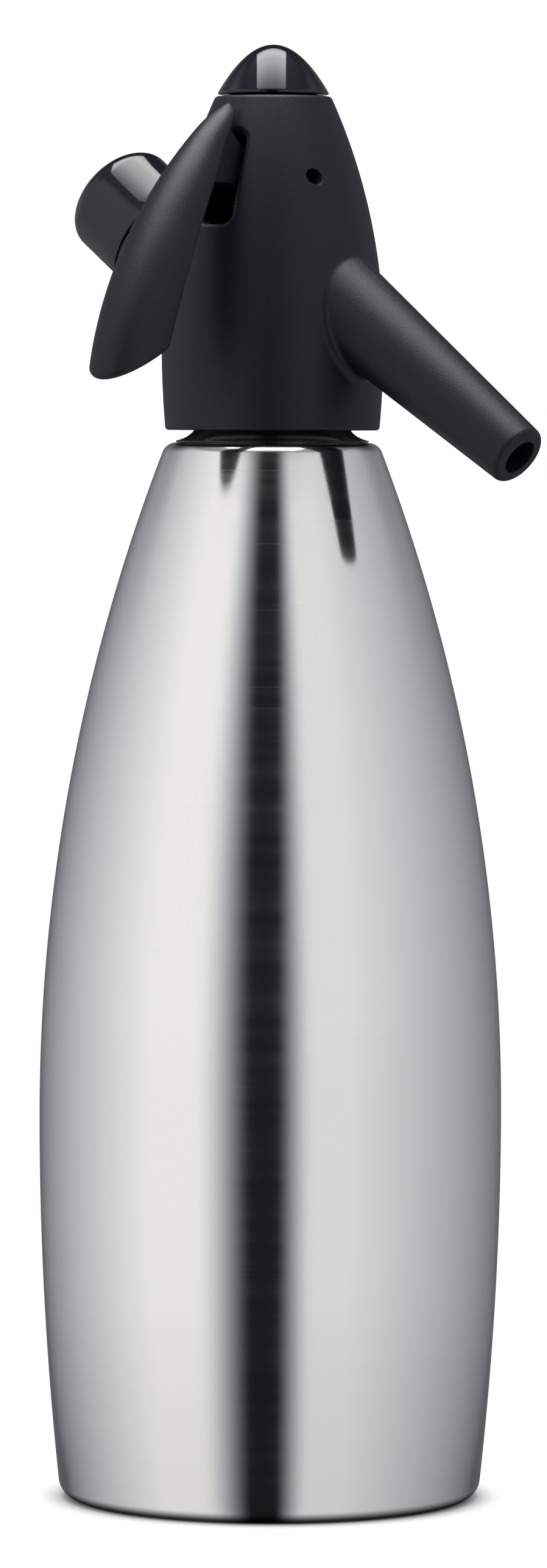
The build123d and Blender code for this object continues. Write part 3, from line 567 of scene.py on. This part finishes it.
# ---------------------------------------------------------------- collar under the head
COLLAR_BORE = 16.0
COLLAR_SEAT = 228.55
COLLAR_RIM = 20.8
COLLAR_WAIST = 16.8
COLLAR_TOP = 231.9
COLLAR_EDGE = 0.15
COLLAR_TOP_EDGE = 0.2
collar = join(
    [(COLLAR_BORE, COLLAR_SEAT), (COLLAR_RIM - COLLAR_EDGE, COLLAR_SEAT)],
    arc((COLLAR_RIM - COLLAR_EDGE, COLLAR_SEAT + COLLAR_EDGE), COLLAR_EDGE, -90, 0, 3),
    bowed([(COLLAR_RIM, 228.92), (17.8, 229.6), (COLLAR_WAIST, 231.4)], 18),
    [(COLLAR_WAIST, COLLAR_TOP - COLLAR_TOP_EDGE), (COLLAR_WAIST - COLLAR_TOP_EDGE, COLLAR_TOP)],
    [(COLLAR_BORE, COLLAR_TOP)],
)
dress(turned_skin("collar_ring", collar, segments=160, closed=True), "neck_collar")

# ---------------------------------------------------------------- glossy top cap
CAP_RADIUS = 11.95
CAP_RIM = 303.4
CAP_TOP = CAP_RIM + 10.75
CAP_EDGE = 0.3
CAP_PLUG_RADIUS = 8.4
CAP_PLUG_BOTTOM = 297.3
CAP_POCKET_RADIUS = 5.2
CAP_POCKET_TOP = 305.0
cap = join(
    [(0.0, CAP_POCKET_TOP), (CAP_POCKET_RADIUS, CAP_POCKET_TOP), (CAP_POCKET_RADIUS, CAP_PLUG_BOTTOM)],
    [(CAP_PLUG_RADIUS, CAP_PLUG_BOTTOM), (CAP_PLUG_RADIUS, CAP_RIM)],
    straight((CAP_PLUG_RADIUS, CAP_RIM), (CAP_RADIUS - 0.35, CAP_RIM), 3),
    arc((CAP_RADIUS - CAP_EDGE, CAP_RIM + CAP_EDGE), CAP_EDGE, -90, 0, 5),
    bowed([(CAP_RADIUS, CAP_RIM + 0.35), (CAP_RADIUS / 2, CAP_TOP), (0.0, CAP_TOP)], 40),
)
dress(turned_skin("cap_dome", cap, segments=128), "top_cap")

# ---------------------------------------------------------------- glossy shell of the charger holder
def quarter_oval(radius, base, height):
    """Control points of a quarter oval from a dome's rim to its top."""
    arm = 0.5523
    top = base + height
    return [(radius, base), (radius, base + arm * height), (arm * radius, top), (0.0, top)]


HOLDER_RADIUS = 12.5
HOLDER_BORE = 10.55
HOLDER_RIM = 39.3
HOLDER_EDGE = 0.4
HOLDER_SHOULDER = 52.2
HOLDER_SEAT = 50.0
HOLDER_DOME_HEIGHT = 6.7
HOLLOW_RADIUS = 9.6
HOLLOW_HEIGHT = 5.7
holder = join(
    [(HOLDER_BORE, HOLDER_RIM), (HOLDER_RADIUS - HOLDER_EDGE, HOLDER_RIM)],
    arc((HOLDER_RADIUS - HOLDER_EDGE, HOLDER_RIM + HOLDER_EDGE), HOLDER_EDGE, -90, 0, 5),
    straight((HOLDER_RADIUS, HOLDER_RIM + HOLDER_EDGE), (HOLDER_RADIUS, HOLDER_SHOULDER), 4),
    bowed(quarter_oval(HOLDER_RADIUS, HOLDER_SHOULDER, HOLDER_DOME_HEIGHT), 30),
    list(reversed(bowed(quarter_oval(HOLLOW_RADIUS, HOLDER_SEAT, HOLLOW_HEIGHT), 20))),
    [(HOLDER_BORE, HOLDER_SEAT)],
)
holder_dome = turned_skin("holder_dome", holder, 128, CHARGER_CENTRE, CHARGER_WAY)
dress(holder_dome, "charger_holder")

# ---------------------------------------------------------------- valve spring
SPRING_WIRE = 0.55
SPRING_RADIUS = 3.9
SPRING_TURNS = 8
WIRE_SHARP_ANGLE = 40


def wound_wire(name, bottom, top, steps=48, sides=12):
    """A round wire wound round the Z axis between two heights, in millimetres, with flat ends."""
    shell = bmesh.new()
    rings = []
    count = SPRING_TURNS * steps
    climb = (top - bottom) / (2 * math.pi * SPRING_TURNS)
    for step in range(count + 1):
        angle = 2 * math.pi * step / steps
        out = Vector((math.cos(angle), math.sin(angle), 0))
        round_way = Vector((-math.sin(angle) * SPRING_RADIUS, math.cos(angle) * SPRING_RADIUS, 0))
        along = (round_way + Vector((0, 0, climb))).normalized()
        over = along.cross(out)
        centre = out * SPRING_RADIUS + Vector((0, 0, bottom + climb * angle))
        ring = []
        for side in range(sides):
            turn = 2 * math.pi * side / sides
            offset = (out * math.cos(turn) + over * math.sin(turn)) * SPRING_WIRE
            ring.append(shell.verts.new((centre + offset) * MM))
        rings.append(ring)
    for first, second in zip(rings, rings[1:]):
        for side in range(sides):
            following = (side + 1) % sides
            shell.faces.new([first[side], first[following], second[following], second[side]])
    shell.faces.new(list(reversed(rings[0])))
    shell.faces.new(rings[-1])
    return finished_piece(name, shell, WIRE_SHARP_ANGLE)


spring_low, spring_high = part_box("valve_spring")
spring_bottom = spring_low[2] / MM + SPRING_WIRE
spring_top = spring_high[2] / MM - SPRING_WIRE
spring_coil = wound_wire("spring_coil", spring_bottom, spring_top)
dress(spring_coil, "valve_spring")
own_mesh(spring_coil)

# ---------------------------------------------------------------- camera
camera = bpy.data.objects.new("camera", bpy.data.cameras.new("camera"))
bpy.context.scene.collection.objects.link(camera)
VIEW_AZIMUTH = math.radians(38)
VIEW_DISTANCE = 1.657
VIEW_HEIGHT = 0.2366
AIM_HEIGHT = 0.1547
CAMERA_SHIFT = 0.0014
CAMERA_ROLL = 0.003
SENSOR_HEIGHT = 36
LENS = 176
camera.location = (
    VIEW_DISTANCE * math.sin(VIEW_AZIMUTH),
    -VIEW_DISTANCE * math.cos(VIEW_AZIMUTH),
    VIEW_HEIGHT,
)
aim = Vector((0, 0, AIM_HEIGHT)) - camera.location
camera.rotation_euler = (aim.to_track_quat("-Z", "Y") @ Quaternion((0, 0, 1), CAMERA_ROLL)).to_euler()
camera.data.sensor_fit = "VERTICAL"
camera.data.sensor_height = SENSOR_HEIGHT
camera.data.lens = LENS
camera.data.shift_x = CAMERA_SHIFT
camera.data.clip_start = 0.01
bpy.context.scene.camera = camera


# ---------------------------------------------------------------- studio walls and floor
# Each wall has the bearings in degrees of its soft edge and of its fade, and its first and last level.
FRONT = Vector((math.sin(VIEW_AZIMUTH), -math.cos(VIEW_AZIMUTH), 0))
RIGHT = Vector((math.cos(VIEW_AZIMUTH), math.sin(VIEW_AZIMUTH), 0))
GAP_LEVEL = 0.016
LEFT_WALL = {"edge": (-9.5, -38.5), "fade": (-62, -168), "level": (1.17, 0.13)}
RIGHT_WALL = {"edge": (3, 22), "fade": (40, 168), "level": (1.0, 0.13)}
COOL_TINT = (0.95, 1.0, 1.09, 1)
WARM_TINT = (1.01, 1.0, 0.985, 1)
WARMEST_LEVEL = 1.2


def wall_of_light(group, bearing, wall):
    """One wall's level by bearing: a soft edge at the gap and a slow fade towards the back."""
    near, far = (math.radians(angle) for angle in wall["edge"])
    edge = soft_step(group, bearing, 0, near, far)
    start, end = (math.radians(angle) for angle in wall["fade"])
    fade = shifted(group, bearing, 0, *wall["level"], start, end)
    return combined(group, edge.outputs[0], fade.outputs[0], "MULTIPLY")


def studio_walls_group():
    """Two pale walls of light, left and right of a dark gap at the front of the studio."""
    group, given, result = node_group(
        "studio_walls",
        [("Direction", "NodeSocketVector", (0, 0, 0)), ("Spread", "NodeSocketFloat", 1.0)],
        [("Color", "NodeSocketColor")],
    )
    ahead = add_node(group, "ShaderNodeVectorMath", {1: FRONT}, operation="DOT_PRODUCT")
    aside = add_node(group, "ShaderNodeVectorMath", {1: RIGHT}, operation="DOT_PRODUCT")
    wire(group, given, "Direction", ahead, 0)
    wire(group, given, "Direction", aside, 0)
    turned = add_node(group, "ShaderNodeMath", operation="ARCTAN2")
    wire(group, aside, "Value", turned, 0)
    wire(group, ahead, "Value", turned, 1)
    bearing = add_node(group, "ShaderNodeMath", operation="MULTIPLY")
    wire(group, turned, 0, bearing, 0)
    wire(group, given, "Spread", bearing, 1)
    left = wall_of_light(group, bearing, LEFT_WALL)
    right = wall_of_light(group, bearing, RIGHT_WALL)
    both = combined(group, left.outputs[0], right.outputs[0])
    level = add_node(group, "ShaderNodeMath", {1: GAP_LEVEL}, operation="ADD")
    wire(group, both, 0, level, 0)
    warmth = shifted(group, level, 0, 0.0, 1.0, 0.0, WARMEST_LEVEL)
    tint = add_node(group, "ShaderNodeMix", data_type="RGBA")
    tint.inputs["A"].default_value = COOL_TINT
    tint.inputs["B"].default_value = WARM_TINT
    wire(group, warmth, 0, tint, 0)
    lit = add_node(group, "ShaderNodeVectorMath", operation="SCALE")
    group.links.new(tint.outputs["Result"], lit.inputs[0])
    wire(group, level, 0, lit, "Scale")
    wire(group, lit, 0, result, "Color")
    return group


STUDIO_WALLS = studio_walls_group()


def seen_directly(tree):
    """What kind of ray it is, and whether the camera sees it, straight or through something clear."""
    rays = add_node(tree, "ShaderNodeLightPath")
    camera_ray, clear_ray = rays.outputs["Is Camera Ray"], rays.outputs["Is Transmission Ray"]
    return rays, combined(tree, camera_ray, clear_ray, "MAXIMUM")


FLOOR_COLOUR = (0.50, 0.50, 0.50, 1)
SHADOW_FADE = (0.042, 0.051)
MIRRORED_SPREAD = 0.0242
# Painted shade: the mirrored reach and level make the painted reflection of the walls in the floor dimmer
# near the foot, and the contact reach and darkest level darken it almost to black right at the foot as a
# painted contact shadow.
PAINTED_SHADE_REACH = (0.06, 0.30)
PAINTED_REFLECTION_LEVEL = (0.84, 0.97)
PAINTED_CONTACT_SHADOW_REACH = (0.0430, 0.0475)
PAINTED_CONTACT_SHADOW_DARKEST = 0.03


def floor_finish():
    """A plain pale floor that keeps the shadow near the bottle and fades to white further out. To glossy
    rays it glows with a painted reflection of the walls, dimmed by painted shade near the foot.
    """
    finish, tree, surface = new_finish("studio_floor")
    surface.inputs["Base Color"].default_value = FLOOR_COLOUR
    surface.inputs["Roughness"].default_value = 0.6
    surface.inputs["Specular IOR Level"].default_value = 0.2
    place = add_node(tree, "ShaderNodeTexCoord")
    reach = add_node(tree, "ShaderNodeVectorMath", operation="LENGTH")
    wire(tree, place, "Object", reach, 0)
    fade = soft_step(tree, reach, "Value", *SHADOW_FADE)
    rays, seen = seen_directly(tree)
    amount = combined(tree, seen.outputs[0], fade.outputs[0], "MULTIPLY")
    white = add_node(tree, "ShaderNodeEmission", {"Color": (1, 1, 1, 1), "Strength": 1.0})
    blend = add_node(tree, "ShaderNodeMixShader")
    wire(tree, amount, 0, blend, "Fac")
    wire(tree, surface, 0, blend, 1)
    wire(tree, white, 0, blend, 2)
    # Metal sees a painted reflection of the walls in the floor, further round the nearer to the foot it
    # looks: the floor glows with it for glossy rays only.
    walls = placed_group(tree, STUDIO_WALLS)
    wire(tree, place, "Object", walls, "Direction")
    beyond = add_node(tree, "ShaderNodeMath", {1: MIRRORED_SPREAD}, operation="SUBTRACT")
    wire(tree, reach, "Value", beyond, 0)
    spread = combined(tree, reach.outputs["Value"], beyond.outputs[0], "DIVIDE")
    wire(tree, spread, 0, walls, "Spread")
    # Painted shade in the painted reflection: dimmer near the foot, and nearly black right at it as a
    # painted contact shadow.
    near = shifted(tree, reach, "Value", *PAINTED_REFLECTION_LEVEL, *PAINTED_SHADE_REACH)
    painted_contact_shadow = soft_step(tree, reach, "Value", *PAINTED_CONTACT_SHADOW_REACH, PAINTED_CONTACT_SHADOW_DARKEST, 1.0)
    level = combined(tree, near.outputs[0], painted_contact_shadow.outputs[0], "MULTIPLY")
    # The painted reflection: an emission in the walls' colour, seen only by glossy rays.
    painted_reflection = add_node(tree, "ShaderNodeEmission")
    wire(tree, walls, "Color", painted_reflection, "Color")
    wire(tree, level, 0, painted_reflection, "Strength")
    gloss = add_node(tree, "ShaderNodeMixShader")
    wire(tree, rays, "Is Glossy Ray", gloss, "Fac")
    wire(tree, blend, 0, gloss, 1)
    wire(tree, painted_reflection, 0, gloss, 2)
    output = next(n for n in tree.nodes if n.type == "OUTPUT_MATERIAL")
    wire(tree, gloss, 0, output, "Surface")
    return finish


FLOOR_SIZE = 30
FLOOR_GAP = 0.0001
bpy.ops.mesh.primitive_plane_add(size=FLOOR_SIZE, location=(0, 0, -FLOOR_GAP))
floor = bpy.context.object
floor.name = "studio_floor"
floor.data.materials.append(floor_finish())


# ---------------------------------------------------------------- studio light
def mixed_toward(tree, amount, colour, other):
    """A linked colour that gives way to a plain one by a mask."""
    mix = add_node(tree, "ShaderNodeMix", data_type="RGBA")
    mix.inputs["B"].default_value = other
    wire(tree, amount, 0, mix, 0)
    tree.links.new(colour, mix.inputs["A"])
    return mix.outputs["Result"]


CEILING_COLOUR = (0.44, 0.45, 0.47, 1)
SCREEN_COLOUR = (0.03, 0.03, 0.03, 1)
WALL_TOP_FADE = (0.60, 0.74)
WALL_TOP_LEVEL = 0.38
CEILING_START = (0.70, 0.92)
SCREEN_SIDES = (-0.35, -0.80)
SCREEN_FOOT = (0.20, 0.50)


def studio_world():
    """The walls all round, a plain ceiling, a dark screen behind, and a white background."""
    world = bpy.data.worlds.new("studio")
    bpy.context.scene.world = world
    world.use_nodes = True
    tree = world.node_tree
    background = next(n for n in tree.nodes if n.type == "BACKGROUND")
    direction = add_node(tree, "ShaderNodeTexCoord")
    walls = placed_group(tree, STUDIO_WALLS)
    wire(tree, direction, "Generated", walls, "Direction")
    height = add_node(tree, "ShaderNodeSeparateXYZ")
    wire(tree, direction, "Generated", height, 0)
    dimmer = soft_step(tree, height, "Z", *WALL_TOP_FADE, 1.0, WALL_TOP_LEVEL)
    dimmed = add_node(tree, "ShaderNodeVectorMath", operation="SCALE")
    wire(tree, walls, "Color", dimmed, 0)
    wire(tree, dimmer, 0, dimmed, "Scale")
    ceiling = soft_step(tree, height, "Z", *CEILING_START)
    closed = mixed_toward(tree, ceiling, dimmed.outputs[0], CEILING_COLOUR)
    ahead = add_node(tree, "ShaderNodeVectorMath", {1: FRONT}, operation="DOT_PRODUCT")
    wire(tree, direction, "Generated", ahead, 0)
    behind = shifted(tree, ahead, "Value", 0.0, 1.0, *SCREEN_SIDES)
    above = shifted(tree, height, "Z", 0.0, 1.0, *SCREEN_FOOT)
    screened = combined(tree, behind.outputs[0], above.outputs[0], "MULTIPLY")
    shaded = mixed_toward(tree, screened, closed, SCREEN_COLOUR)
    _, seen = seen_directly(tree)
    chosen = mixed_toward(tree, seen, shaded, (1, 1, 1, 1))
    tree.links.new(chosen, background.inputs["Color"])
    background.inputs["Strength"].default_value = 1.0


studio_world()


PANEL_HEIGHT = 1.3
PANEL_WIDTH = 0.86
PANEL_BACK = -0.72
PANEL_FRONT = 0.56
PANEL_LEFT = 0.06
PANEL_BACK_FADE = (-0.30, -0.72, 0.42)
PANEL_FRONT_FADE = (0.02, 0.60, 0.25)
PANEL_STRENGTH = 8.8


def overhead_panel():
    """A long soft light above the siphon, from behind it to the front, brightest in its middle."""
    length = PANEL_FRONT - PANEL_BACK
    middle = (PANEL_FRONT + PANEL_BACK) / 2
    place = FRONT * middle - RIGHT * PANEL_LEFT + Vector((0, 0, PANEL_HEIGHT))
    bpy.ops.mesh.primitive_plane_add(size=1, location=place)
    panel = bpy.context.object
    panel.name = "overhead_panel"
    panel.scale = (PANEL_WIDTH, length, 1)
    panel.rotation_euler = (0, 0, VIEW_AZIMUTH + math.pi)
    glow = bpy.data.materials.new("overhead_panel")
    glow.use_nodes = True
    tree = glow.node_tree
    tree.nodes.clear()
    inside = add_node(tree, "ShaderNodeTexCoord")
    along = add_node(tree, "ShaderNodeSeparateXYZ")
    wire(tree, inside, "Object", along, 0)
    reach = shifted(tree, along, "Y", PANEL_BACK, PANEL_FRONT, -0.5, 0.5)
    fades = [
        soft_step(tree, reach, 0, start, end, 1.0, dimmest)
        for start, end, dimmest in (PANEL_BACK_FADE, PANEL_FRONT_FADE)
    ]
    level = combined(tree, fades[0].outputs[0], fades[1].outputs[0], "MULTIPLY")
    power = add_node(tree, "ShaderNodeMath", {1: PANEL_STRENGTH}, operation="MULTIPLY")
    wire(tree, level, 0, power, 0)
    light = add_node(tree, "ShaderNodeEmission")
    wire(tree, power, 0, light, "Strength")
    wire(tree, light, 0, add_node(tree, "ShaderNodeOutputMaterial"), "Surface")
    panel.data.materials.append(glow)
    # The panel lights the siphon and shows in its gloss, but never stands before a camera above it.
    panel.visible_camera = False


overhead_panel()

bpy.context.scene.view_settings.view_transform = "Standard"
